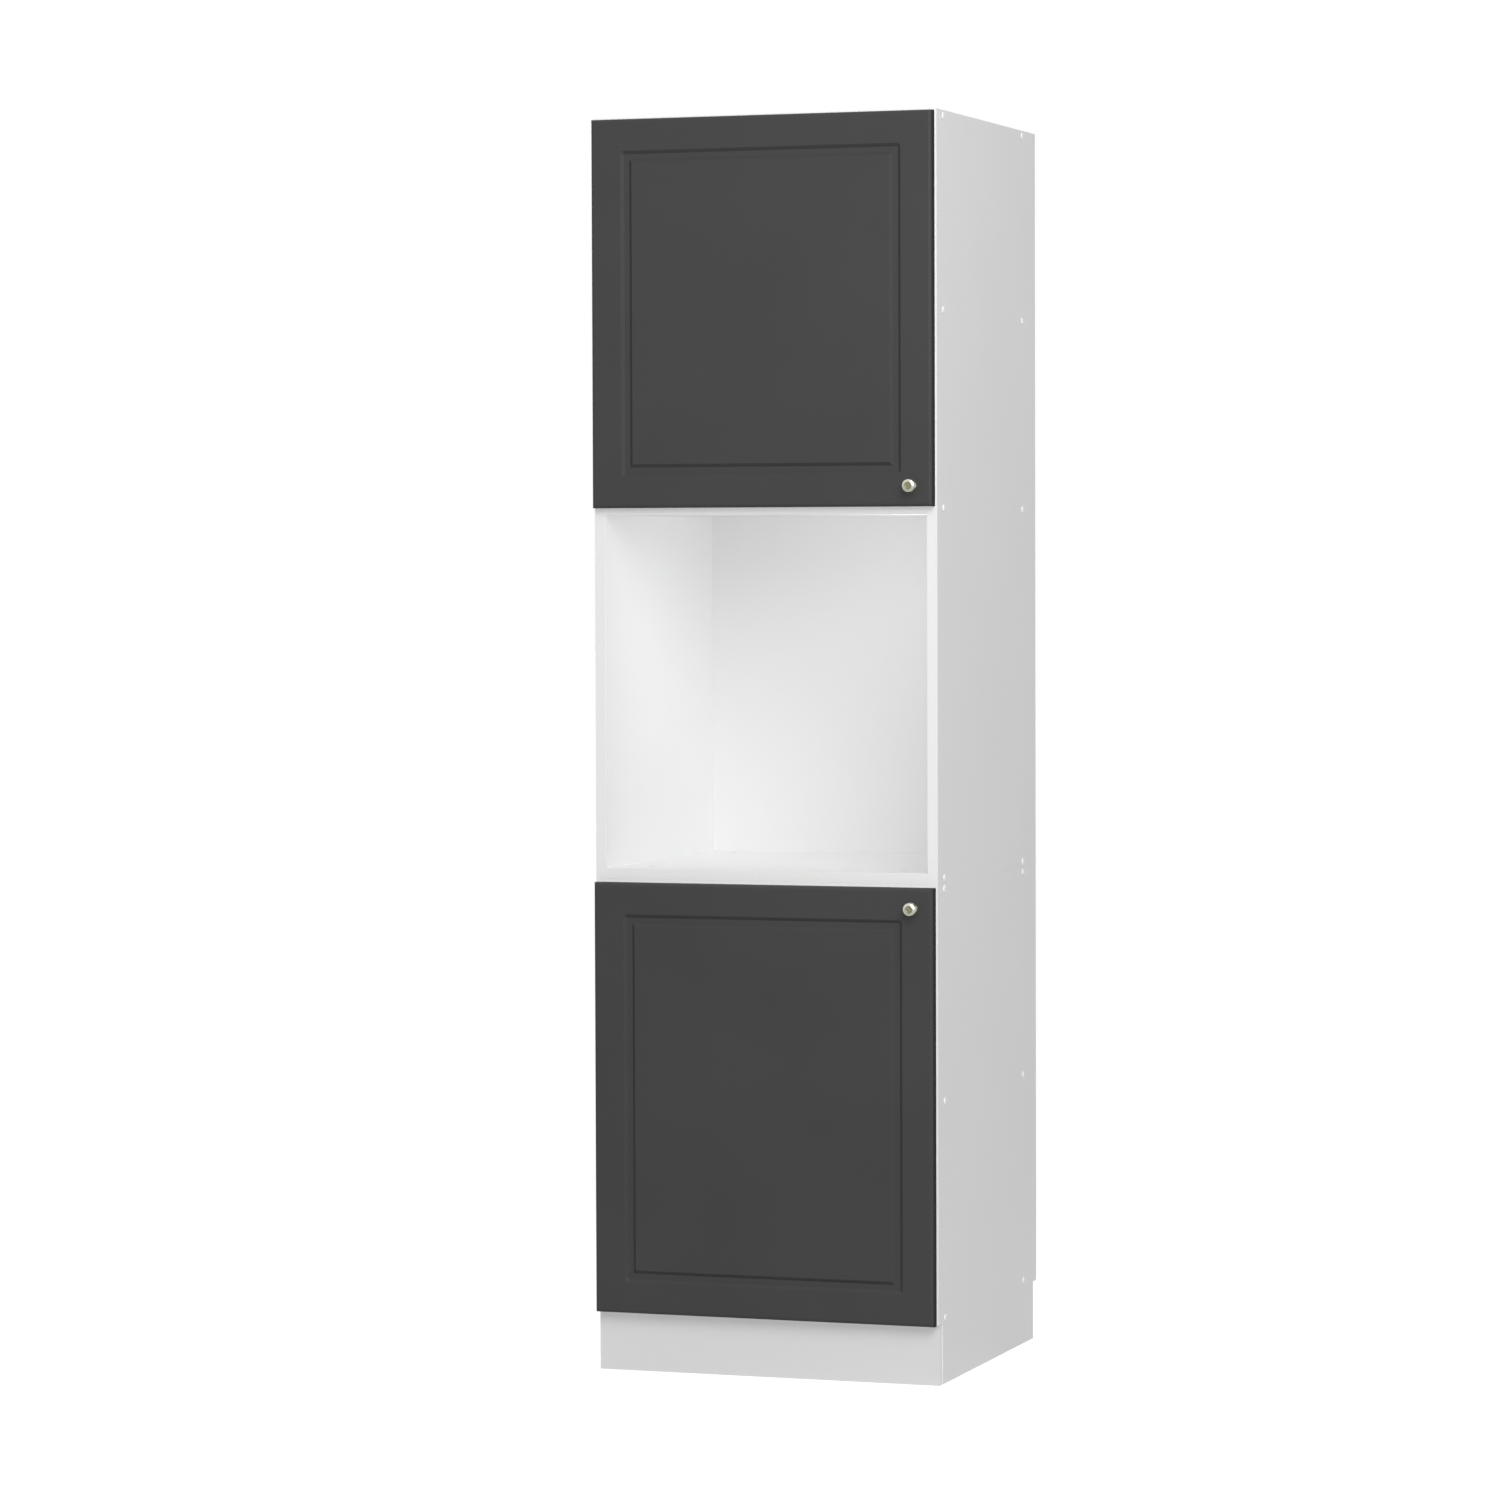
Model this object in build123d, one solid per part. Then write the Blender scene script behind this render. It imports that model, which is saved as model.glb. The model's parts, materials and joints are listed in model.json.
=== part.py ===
from build123d import *
import os

# A tall kitchen unit that houses a built-in oven, in millimetres.
# X runs across the width, Y from front to back and Z up.
# The origin is on the floor, in the middle of the width and of the overall depth.

# Overall sizes of the carcass
unit_width = 600.0
unit_height = 2100.0
carcass_depth = 580.0
board = 18.0
edge_strip = 0.8
strip_rounding = 0.5

# Heights of the base cupboard, the oven niche and the shelves
plinth_height = 100.0
base_height = 829.0
niche_height = 591.0
shelf_above_middle = 3.5
seam_arris = 0.4

# Back panels, which stand in grooves of the sides and leave a space for pipes and cables behind them
back_thickness = 3.0
service_void = 40.0
groove_depth = 6.0
groove_clearance = 0.1
nail_radius = 0.8
nail_length = 20.0
nail_head_radius = 2.0
nail_head = 0.8
nails_per_board = 3
nail_inset = 60.0

# Plinth and the notches of the base sides
plinth_recess = 7.0
plinth_thickness = 16.0
plinth_end_inset = 1.0
plinth_top_gap = 1.0
pipe_notch_depth = 20.0
pipe_notch_height = 100.0
plinth_block_size = 25.0
plinth_block_height = 90.0
plinth_block_lift = 5.0

# Carcass screws and the caps over their heads
screw_row_inset = 37.0
screw_length = 50.0
screw_radius = 3.5
screw_head_radius = 5.0
screw_head_height = 3.5
screw_head_sink = 0.5
screw_socket_across = 4.0
screw_socket_depth = 3.0
hole_clearance = 0.05
cap_radius = 6.0
cap_height = 1.6
cap_rounding = 1.3
cap_peg_radius = 1.8
cap_peg_length = 2.5

# Connectors that hold the tower on the base
connector_side_inset = 60.0
connector_end_inset = 60.0
sleeve_radius = 4.0
sleeve_length = 26.0
connector_bolt_radius = 3.0
connector_bolt_length = 28.0
connector_head_radius = 6.5
connector_head_height = 1.5

# Doors
door_thickness = 18.0
door_gap = 2.0
door_side_reveal = 2.5
door_top_reveal = 3.0
niche_edge_shown = 12.0
base_edge_shown = 5.0
door_front_rounding = 6.0
door_back_rounding = 1.0

# Milled line of the doors
door_frame_width = 53.0
milling_width = 20.0
milling_slope = 5.5
milling_depth = 4.5
cutter_tip_radius = 1.0

# Knobs
knob_inset = 34.0
knob_projection = 25.0
knob_radius = 12.0
knob_rim_back = 8.0
knob_rim_height = 1.8
knob_shoulder_radius = 10.5
knob_shoulder = 1.8
knob_ring_radius = 7.0
knob_dish_radius = 5.8
knob_dish_depth = 1.2
knob_neck_radius = 5.0
knob_foot_radius = 8.0
knob_foot_height = 2.0
knob_screw_radius = 2.0
knob_screw_depth = 9.0
knob_screw_head_radius = 4.0
knob_screw_head_height = 2.2

# Bumper pads on the back of each door
bumper_radius = 5.0
bumper_gap = 0.3
bumper_end_inset = 30.0

# Concealed hinges: one pin in a cup let into the door, and a cranked arm on a plate on the side
hinge_inset = 100.0
cup_radius = 17.5
cup_depth = 13.6
cup_wall = 0.8
cup_edge_distance = 3.0
cup_fit = 0.1
flange_thickness = 1.0
flange_half_height = 29.0
flange_width = 16.0
flange_setback = 3.5
cup_screw_spacing = 45.0
cup_screw_beyond_centre = 9.5
cup_screw_radius = 1.75
cup_screw_head_radius = 3.4
cup_screw_length = 12.0
pin_radius = 1.0
pin_fit = 0.05
ear_fit = 0.02
eye_radius = 1.9
eye_side_clearance = 0.8
eye_floor_clearance = 0.3
arm_half_height = 3.5
ear_gap = 0.5
ear_thickness = 2.5
arm_thickness = 2.2
arm_leg_from_side = 4.0
arm_wall = 1.5
arm_slide_clearance = 0.3
arm_start = 1.0
arm_length = 71.0
plate_thickness = 2.0
plate_half_height = 22.0
plate_width = 18.0
plate_screw_offset = 16.0
plate_screw_radius = 2.5
plate_screw_head_radius = 3.5
plate_screw_length = 12.0
rail_width = 8.2
rail_half_height = 5.2
rail_start = 25.0
rail_end = 66.0
arm_screw_radius = 2.5
arm_screw_head_radius = 4.0
arm_screw_head_height = 2.0
arm_screw_depth = 5.0
arm_screw_places = (32.0, 58.0)
recess_width = 0.8
recess_depth = 1.2

# Wall brackets behind the back panel
bracket_thickness = 2.0
bracket_height = 40.0
bracket_leg = 40.0
bracket_below_top = 60.0
bracket_back_clearance = 2.0
bracket_hole_radius = 3.5
bracket_hole_inset = 24.0
bracket_rounding = 3.0
bracket_screw_radius = 2.0
bracket_screw_head_radius = 3.8
bracket_screw_head_height = 2.0
bracket_screw_length = 15.0
bracket_screw_spread = 20.0

# Sizes and places that follow from the ones above
half_width = unit_width / 2
front_reach = door_gap + door_thickness + knob_projection
front_y = (front_reach - carcass_depth) / 2
rear_y = front_y + carcass_depth
back_panel_y = rear_y - service_void - back_thickness
board_depth = back_panel_y - front_y
plinth_front_y = front_y + plinth_recess
plinth_back_y = plinth_front_y + plinth_thickness
door_back_y = front_y - door_gap
door_front_y = door_back_y - door_thickness
door_width = unit_width - 2 * door_side_reveal
niche_floor_z = base_height + board
niche_top_z = niche_floor_z + niche_height
base_middle_z = (plinth_height + base_height) / 2
upper_middle_z = (niche_top_z + unit_height) / 2
screw_rows = (front_y + screw_row_inset, back_panel_y - screw_row_inset)

# Middle height of each board that lies across the unit
base_boards = {
    "base_bottom_panel": plinth_height + board / 2,
    "base_shelf": base_middle_z + shelf_above_middle,
    "base_top_panel": base_height - board / 2,
}
tower_boards = {
    "niche_floor_panel": base_height + board / 2,
    "niche_top_panel": niche_top_z + board / 2,
    "upper_shelf": upper_middle_z + shelf_above_middle,
    "tower_top_panel": unit_height - board / 2,
}

# Lowest and highest edge of each door
door_heights = {
    "lower_door": (plinth_height, base_height - base_edge_shown),
    "upper_door": (niche_top_z + niche_edge_shown, unit_height - door_top_reveal),
}

# The hinge pin stands in the cup, a clearance away from its wall and its floor
door_edge_x = -half_width + door_side_reveal
cup_x = door_edge_x + cup_edge_distance + cup_radius
cup_floor_y = door_back_y - cup_depth + cup_wall
cup_inner_radius = cup_radius - cup_wall
pivot_x = door_edge_x + cup_edge_distance + cup_wall + eye_side_clearance + eye_radius
pivot_y = cup_floor_y + eye_floor_clearance + eye_radius
ear_inner_z = arm_half_height + ear_gap
ear_outer_z = ear_inner_z + ear_thickness
side_inner_x = -half_width + board
rail_top_x = side_inner_x + plate_thickness + rail_width
plate_y = front_y + screw_row_inset


def block(x_range, y_range, z_range):
    """A board or bar between three pairs of faces."""
    ranges = (x_range, y_range, z_range)
    sizes = [high - low for low, high in ranges]
    centre = [(low + high) / 2 for low, high in ranges]
    return Pos(*centre) * Box(*sizes)


def rod(start, direction, radius, length):
    """A round bar or drilling that starts at a point and runs along a direction."""
    along = Plane(origin=start, z_dir=direction)
    return along * Cylinder(radius, length, align=(Align.CENTER, Align.CENTER, Align.MIN))


def cone(start, direction, start_radius, end_radius, length):
    """A countersink that starts at a point and narrows or widens along a direction."""
    along = Plane(origin=start, z_dir=direction)
    shape = Cone(start_radius, end_radius, length, align=(Align.CENTER, Align.CENTER, Align.MIN))
    return along * shape


def from_side(side, near, far):
    """The two X places at these distances in from the outer face of one side, lowest first."""
    return tuple(sorted(side * (half_width - inset) for inset in (near, far)))


def save(node, shapes):
    """Write the solids of one named piece, or of one group of like pieces."""
    solids = [solid for shape in shapes for solid in shape.solids()]
    export_step(Compound(solids), f"parts/{node}.step")


def screw_places(heights):
    """Side, depth and height of each carcass screw at these board heights."""
    return [(side, y, z) for side in (-1, 1) for z in heights for y in screw_rows]


def side_screw_drillings(side, heights):
    """Through holes and head seats for the carcass screws of one side panel."""
    drillings = []
    for place_side, y, z in screw_places(heights):
        if place_side != side:
            continue
        outer_face = (side * half_width, y, z)
        inwards = (-side, 0, 0)
        seat_depth = screw_head_sink + screw_head_height
        drillings.append(rod(outer_face, inwards, screw_radius + hole_clearance, board))
        drillings.append(rod(outer_face, inwards, screw_head_radius + hole_clearance, seat_depth))
    return drillings


def back_groove(side, low_z, high_z):
    """The saw groove in a side panel that holds the edge of the back panel."""
    x_range = from_side(side, board - groove_depth - groove_clearance, board)
    y_range = (back_panel_y - groove_clearance, back_panel_y + back_thickness + groove_clearance)
    return block(x_range, y_range, (low_z, high_z))


def front_strip(x_range, z_range):
    """An edge strip on the front of a board, with its two long front corners rounded."""
    strip = block(x_range, (front_y, front_y + edge_strip), z_range)
    long_axis = Axis.Z if z_range[1] - z_range[0] > x_range[1] - x_range[0] else Axis.X
    front_edges = strip.edges().filter_by(long_axis).group_by(Axis.Y)[0]
    return fillet(front_edges, min(strip_rounding, edge_strip * 0.8))


def hinge_heights(door):
    """Heights of the two hinges of a door."""
    low, high = door_heights[door]
    return (low + hinge_inset, high - hinge_inset)


def plate_screw_places(door):
    """Heights of the screws that hold a door's hinge plates to the left side."""
    heights = hinge_heights(door)
    return [z + offset for z in heights for offset in (-plate_screw_offset, plate_screw_offset)]


def plate_screw_start():
    """Distance in from the side's inner face at which a hinge plate screw starts."""
    return side_inner_x + plate_thickness


def plate_drillings(door):
    """Pilot holes for the hinge plate screws in the left side."""
    depth = plate_screw_length + hole_clearance
    radius = plate_screw_radius + hole_clearance
    places = plate_screw_places(door)
    return [rod((plate_screw_start(), plate_y, z), (-1, 0, 0), radius, depth) for z in places]


def ease_seam(panel, side):
    """Break the outer edge of a side panel at the joint of base and tower, which leaves a fine line."""
    middle = (side * half_width, (front_y + rear_y) / 2, base_height)
    edge = panel.edges().filter_by(Axis.Y).sort_by_distance(middle)[0]
    return chamfer(edge, seam_arris)


def base_side(side):
    """A base side panel: notched for the plinth in front and for pipes behind."""
    x_range = from_side(side, 0, board)
    panel = block(x_range, (front_y + edge_strip, rear_y), (0, base_height))
    panel = ease_seam(panel, side)
    panel -= block(x_range, (front_y, plinth_back_y), (0, plinth_height))
    panel -= block(x_range, (rear_y - pipe_notch_depth, rear_y), (0, pipe_notch_height))
    panel -= back_groove(side, 0, base_height)
    panel -= side_screw_drillings(side, base_boards.values())
    if side < 0:
        panel -= plate_drillings("lower_door")
    panel -= block_screw_drillings(side)
    return panel


def tower_side(side):
    """A tower side panel, which stands on the base side below it."""
    x_range = from_side(side, 0, board)
    panel = block(x_range, (front_y + edge_strip, rear_y), (base_height, unit_height))
    panel = ease_seam(panel, side)
    panel -= back_groove(side, base_height, unit_height)
    panel -= side_screw_drillings(side, tower_boards.values())
    panel -= bracket_drillings(side)
    if side < 0:
        panel -= plate_drillings("upper_door")
    return panel


def cross_board(z):
    """A board between the sides, drilled at both ends for the carcass screws and behind for the nails."""
    x_range = (-half_width + board, half_width - board)
    z_range = (z - board / 2, z + board / 2)
    panel = block(x_range, (front_y + edge_strip, back_panel_y), z_range)
    reach = screw_head_sink + screw_length
    for side, y, height in screw_places([z]):
        start = (side * half_width, y, height)
        panel -= rod(start, (-side, 0, 0), screw_radius + hole_clearance, reach + hole_clearance)
    for x, _, height in nail_places([z]):
        start = (x, back_panel_y, height)
        depth = nail_length - back_thickness + hole_clearance
        panel -= rod(start, (0, -1, 0), nail_radius + hole_clearance, depth)
    return panel


def connector_places():
    """Where the four connectors between base and tower stand."""
    x = half_width - board - connector_side_inset
    y_places = (front_y + connector_end_inset, back_panel_y - connector_end_inset)
    return [(side * x, y) for side in (-1, 1) for y in y_places]


def connector_drillings():
    """Through holes and flush head seats of the connectors, for both boards at the seam."""
    floor_top = base_height + board
    top_underside = base_height - board
    head_radius = connector_head_radius + hole_clearance
    shapes = []
    for x, y in connector_places():
        shapes.append(rod((x, y, top_underside), (0, 0, 1), sleeve_radius + hole_clearance, 2 * board))
        shapes.append(rod((x, y, top_underside), (0, 0, 1), head_radius, connector_head_height))
        shapes.append(rod((x, y, floor_top), (0, 0, -1), head_radius, connector_head_height))
    return shapes


def connector_sleeve(x, y):
    """A flanged sleeve nut, pushed up through the base top panel."""
    start = (x, y, base_height - board)
    sleeve = rod(start, (0, 0, 1), sleeve_radius, sleeve_length)
    sleeve += rod(start, (0, 0, 1), connector_head_radius, connector_head_height)
    sleeve -= rod(start, (0, 0, 1), connector_bolt_radius + hole_clearance, sleeve_length)
    return sleeve


def connector_bolt(x, y):
    """A flat headed bolt, let into the niche floor and screwed down into its sleeve."""
    start = (x, y, base_height + board)
    bolt = rod(start, (0, 0, -1), connector_head_radius, connector_head_height)
    bolt += rod(start, (0, 0, -1), connector_bolt_radius, connector_bolt_length)
    socket = Plane(origin=start, z_dir=(0, 0, -1)) * RegularPolygon(screw_socket_across / 2, 6, major_radius=False)
    bolt -= extrude(socket, connector_head_height)
    return bolt


def panel_screw(side, y, z):
    """A carcass screw with a hexagon socket in its flat head."""
    inwards = (-side, 0, 0)
    start = (side * (half_width - screw_head_sink), y, z)
    screw = rod(start, inwards, screw_head_radius, screw_head_height)
    screw += rod(start, inwards, screw_radius, screw_length)
    tip = screw.faces().sort_by(Axis.X)[0 if side > 0 else -1]
    screw = chamfer(tip.edges(), screw_radius / 2)
    socket = Plane(origin=start, z_dir=inwards) * RegularPolygon(screw_socket_across / 2, 6, major_radius=False)
    screw -= extrude(socket, screw_socket_depth)
    return screw


def screw_cap(side, y, z):
    """A rounded plastic cap that lies on the side panel, with a peg in the screw's socket."""
    face = (side * half_width, y, z)
    cap = rod(face, (side, 0, 0), cap_radius, cap_height)
    outer = cap.faces().sort_by(Axis.X)[-1 if side > 0 else 0]
    cap = fillet(outer.edges(), min(cap_rounding, cap_height * 0.9))
    cap += rod(face, (-side, 0, 0), cap_peg_radius, screw_head_sink + cap_peg_length)
    return cap


def nail_places(heights):
    """Where the back panel nails enter, as X, Y of the panel's rear face and Z."""
    span = unit_width - 2 * board - 2 * nail_inset
    step = span / (nails_per_board - 1)
    x_places = [-span / 2 + step * index for index in range(nails_per_board)]
    return [(x, back_panel_y + back_thickness, z) for z in heights for x in x_places]


def nail(place):
    """A flat headed nail through the back panel into a board."""
    x, y, z = place
    shank = rod(place, (0, -1, 0), nail_radius, nail_length)
    return shank + rod((x, y, z), (0, 1, 0), nail_head_radius, nail_head)


def back_panel(low_z, high_z, heights):
    """A thin back panel that stands in the grooves of both sides."""
    reach = half_width - board + groove_depth
    panel = block((-reach, reach), (back_panel_y, back_panel_y + back_thickness), (low_z, high_z))
    for place in nail_places(heights):
        panel -= rod(place, (0, -1, 0), nail_radius + hole_clearance, back_thickness)
    return panel


def plinth_board():
    """The plinth board, planted on the notched fronts of the base sides."""
    reach = half_width - plinth_end_inset
    panel = block((-reach, reach), (plinth_front_y, plinth_back_y), (0, plinth_height - plinth_top_gap))
    for start, direction in block_screws():
        if direction[1]:
            panel -= rod(start, direction, bracket_screw_radius + hole_clearance, block_screw_length())
    return panel


def plinth_block(side):
    """A wooden block in the corner between plinth and side, screwed to both."""
    x_range = from_side(side, board, board + plinth_block_size)
    y_range = (plinth_back_y, plinth_back_y + plinth_block_size)
    piece = block(x_range, y_range, (plinth_block_lift, plinth_block_lift + plinth_block_height))
    for start, direction in block_screws():
        piece -= rod(start, direction, bracket_screw_radius + hole_clearance, block_screw_length())
    return piece


def block_screw_length():
    """Length of a block screw: through the block and half way into the plinth or side."""
    return plinth_block_size + min(board, plinth_thickness) / 2


def block_screws():
    """Start and direction of each screw through the plinth blocks."""
    low = plinth_block_lift + plinth_block_height / 4
    high = plinth_block_lift + plinth_block_height * 3 / 4
    middle = plinth_block_size / 2
    shift = bracket_screw_head_radius * 1.5
    screws = []
    for side in (-1, 1):
        x = side * (half_width - board - middle)
        free_x = side * (half_width - board - plinth_block_size)
        free_y = plinth_back_y + plinth_block_size
        for z in (low, high):
            screws.append(((x, free_y, z - shift), (0, -1, 0)))
            screws.append(((free_x, plinth_back_y + middle, z + shift), (side, 0, 0)))
    return screws


def block_screw_drillings(side):
    """Pilot holes of the plinth block screws in one base side."""
    radius = bracket_screw_radius + hole_clearance
    screws = [(start, way) for start, way in block_screws() if way[0] == side]
    return [rod(start, way, radius, block_screw_length()) for start, way in screws]


def cross_recess(top, direction, shank_radius):
    """The crossed slots in the head of a screw, cut from its top along the screw."""
    plane = Plane(origin=top, z_dir=direction)
    reach = shank_radius * 1.8
    low = (Align.CENTER, Align.CENTER, Align.MIN)
    slot = plane * Box(reach, recess_width, recess_depth, align=low)
    return slot + plane * Box(recess_width, reach, recess_depth, align=low)


def small_screw(start, direction, length):
    """A round headed wood screw, its head on the surface at the start."""
    outwards = tuple(-part for part in direction)
    shank = rod(start, direction, bracket_screw_radius, length)
    head = rod(start, outwards, bracket_screw_head_radius, bracket_screw_head_height)
    rim = (Vector(*start) + Vector(*outwards) * bracket_screw_head_height)
    edge = head.edges().filter_by(GeomType.CIRCLE).sort_by_distance(rim)[0]
    screw = shank + fillet(edge, bracket_screw_head_height / 2)
    return screw - cross_recess(rim, direction, bracket_screw_radius)


def milled_line(width, height):
    """The sunken line of a door: a sloped tray less the sloped field that is left inside it."""
    rise = milling_slope / milling_depth
    inner_inset = door_frame_width + milling_width
    above = 1.0
    top_corner = cutter_tip_radius + milling_slope + above * rise

    def outline(depth, inset, corner):
        plane = Plane(origin=(width / 2, depth, height / 2), x_dir=(1, 0, 0), z_dir=(0, -1, 0))
        size = (width - 2 * inset, height - 2 * inset)
        if corner:
            return plane * RectangleRounded(*size, corner)
        return plane * Rectangle(*size)

    tray = loft([
        outline(-above, door_frame_width - above * rise, top_corner),
        outline(milling_depth, door_frame_width + milling_slope, cutter_tip_radius),
    ], ruled=True)
    below = milling_depth + above
    field = loft([
        outline(-above, inner_inset + above * rise, 0),
        outline(below, inner_inset - below * rise, 0),
    ], ruled=True)
    return tray - field


def door_panel(door):
    """A door with its milled line, rounded edges, hinge cup bores and knob hole."""
    low, high = door_heights[door]
    height = high - low
    panel = block((0, door_width), (0, door_thickness), (0, height))
    panel = fillet(panel.faces().sort_by(Axis.Y)[0].edges(), door_front_rounding)
    panel = fillet(panel.faces().sort_by(Axis.Y)[-1].edges(), door_back_rounding)
    panel -= milled_line(door_width, height)
    panel = Pos(door_edge_x, door_front_y, low) * panel
    for z in hinge_heights(door):
        centre = (cup_x, door_back_y, z)
        panel -= rod(centre, (0, -1, 0), cup_radius + cup_fit, cup_depth + cup_fit)
        for start in cup_screw_places(z):
            panel -= rod(start, (0, -1, 0), cup_screw_radius + hole_clearance, cup_screw_length)
    x, _, z = knob_place(door)
    panel -= rod((x, door_back_y, z), (0, -1, 0), knob_screw_radius + hole_clearance, door_thickness)
    return panel


def knob_place(door):
    """Centre of a knob's foot on the door's front: beside the niche, at the opening edge."""
    low, high = door_heights[door]
    z = high - knob_inset if door == "lower_door" else low + knob_inset
    return (door_edge_x + door_width - knob_inset, door_front_y, z)


def turned_profile(corners):
    """A half section for turning: corners as radius, height and rounding."""
    outline = Polyline([(radius, height) for radius, height, _ in corners], close=True)
    section = make_face(outline)
    for radius, height, rounding in corners:
        if rounding:
            corner = section.vertices().sort_by_distance((radius, height, 0))[0]
            section = fillet(corner, rounding)
    return section


def knob(door):
    """A turned knob: foot, waisted neck and a flared head that slopes up to a dished middle."""
    rim = knob_projection - knob_rim_back
    flank_top = knob_projection - knob_shoulder
    dish_floor = knob_projection - knob_dish_depth
    section = turned_profile([
        (0, 0, 0),
        (knob_foot_radius, 0, 0),
        (knob_foot_radius, knob_foot_height, knob_foot_height / 3),
        (knob_neck_radius, knob_foot_height * 2.2, knob_foot_height),
        (knob_neck_radius, rim * 0.6, knob_foot_height * 2),
        (knob_radius, rim - knob_rim_height / 2, knob_rim_height / 3),
        (knob_radius, rim + knob_rim_height / 2, knob_rim_height / 3),
        (knob_shoulder_radius, flank_top, knob_shoulder),
        (knob_ring_radius, knob_projection, knob_shoulder / 2),
        (knob_dish_radius, knob_projection, knob_dish_depth / 2),
        (knob_dish_radius - knob_dish_depth, dish_floor, knob_dish_depth / 2),
        (0, dish_floor, 0),
    ])
    turned = revolve(Plane.XZ * section, Axis.Z)
    turned = Plane(origin=knob_place(door), z_dir=(0, -1, 0)) * turned
    hole = rod(knob_place(door), (0, -1, 0), knob_screw_radius + hole_clearance, knob_screw_depth + 1)
    return turned - hole


def knob_screw(door):
    """The machine screw that holds a knob, its head on the back of the door."""
    x, _, z = knob_place(door)
    start = (x, door_back_y, z)
    head = rod(start, (0, 1, 0), knob_screw_head_radius, knob_screw_head_height)
    head = fillet(head.faces().sort_by(Axis.Y)[-1].edges(), knob_screw_head_height / 2)
    slot_half = 0.5
    head -= block((x - knob_screw_head_radius, x + knob_screw_head_radius),
                  (door_back_y + 1.2, door_back_y + 3), (z - slot_half, z + slot_half))
    return head + rod(start, (0, -1, 0), knob_screw_radius, door_thickness + knob_screw_depth)


def bumpers(door):
    """The two soft pads on the back of a door, which meet the right side's front edge."""
    low, high = door_heights[door]
    x = half_width - board / 2
    thickness = door_gap - bumper_gap
    pads = []
    for z in (low + bumper_end_inset, high - bumper_end_inset):
        pad = rod((x, door_back_y, z), (0, 1, 0), bumper_radius, thickness)
        pads.append(fillet(pad.faces().sort_by(Axis.Y)[-1].edges(), thickness / 3))
    return pads


def cup_screw_places(z):
    """Where the two screws of a hinge cup enter the back of the door."""
    x = cup_x + cup_screw_beyond_centre
    half = cup_screw_spacing / 2
    return [(x, door_back_y, z - half), (x, door_back_y, z + half)]


def hinge_cup(z):
    """The cup: a round pot with a flange on the door's back and two ears that carry the pin."""
    centre = Vector(cup_x, door_back_y, z)
    pot = rod(centre, (0, -1, 0), cup_radius, cup_depth)
    flange_low_x = door_edge_x + flange_setback
    flange_high_x = cup_x + cup_screw_beyond_centre + flange_width / 2
    y_range = (door_back_y, door_back_y + flange_thickness)
    wings = block(
        (cup_x + cup_screw_beyond_centre - flange_width / 2, flange_high_x),
        y_range,
        (z - flange_half_height, z + flange_half_height),
    )
    wings = fillet(wings.edges().filter_by(Axis.Y), flange_width / 3)
    collar = rod(centre, (0, 1, 0), cup_radius + 1.5, flange_thickness)
    collar &= block((flange_low_x, flange_high_x), y_range, (z - flange_half_height, z + flange_half_height))
    cavity_start = (cup_x, door_back_y + flange_thickness, z)
    cavity = rod(cavity_start, (0, -1, 0), cup_inner_radius, cup_depth - cup_wall + flange_thickness)
    cup = pot + wings + collar - cavity
    for side in (-1, 1):
        cup += hinge_ear(z, side)
    cup -= rod((pivot_x, pivot_y, z - ear_outer_z), (0, 0, 1), pin_radius + ear_fit, 2 * ear_outer_z)
    for start in cup_screw_places(z):
        x, y, height = start
        top = (x, y + flange_thickness, height)
        cup -= rod(top, (0, -1, 0), cup_screw_radius + hole_clearance, flange_thickness)
        cup -= cone(top, (0, -1, 0), cup_screw_head_radius, cup_screw_radius + hole_clearance, flange_thickness)
    return cup


def hinge_ear(z, side):
    """One ear beside the arm's eye, grown from the wall and floor of the cup."""
    low_z, high_z = sorted((z + side * ear_inner_z, z + side * ear_outer_z))
    half = eye_radius + 0.4
    ear = block(
        (cup_x - cup_radius, pivot_x + half),
        (cup_floor_y - cup_wall / 2, pivot_y + half),
        (low_z, high_z),
    )
    inside = rod((cup_x, door_back_y, z), (0, -1, 0), cup_radius - cup_wall / 2, cup_depth)
    return ear & inside


def hinge_pin(z):
    """The hinge pin, held by both ears."""
    pin = rod((pivot_x, pivot_y, z - ear_outer_z), (0, 0, 1), pin_radius, 2 * ear_outer_z)
    return pin


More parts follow.
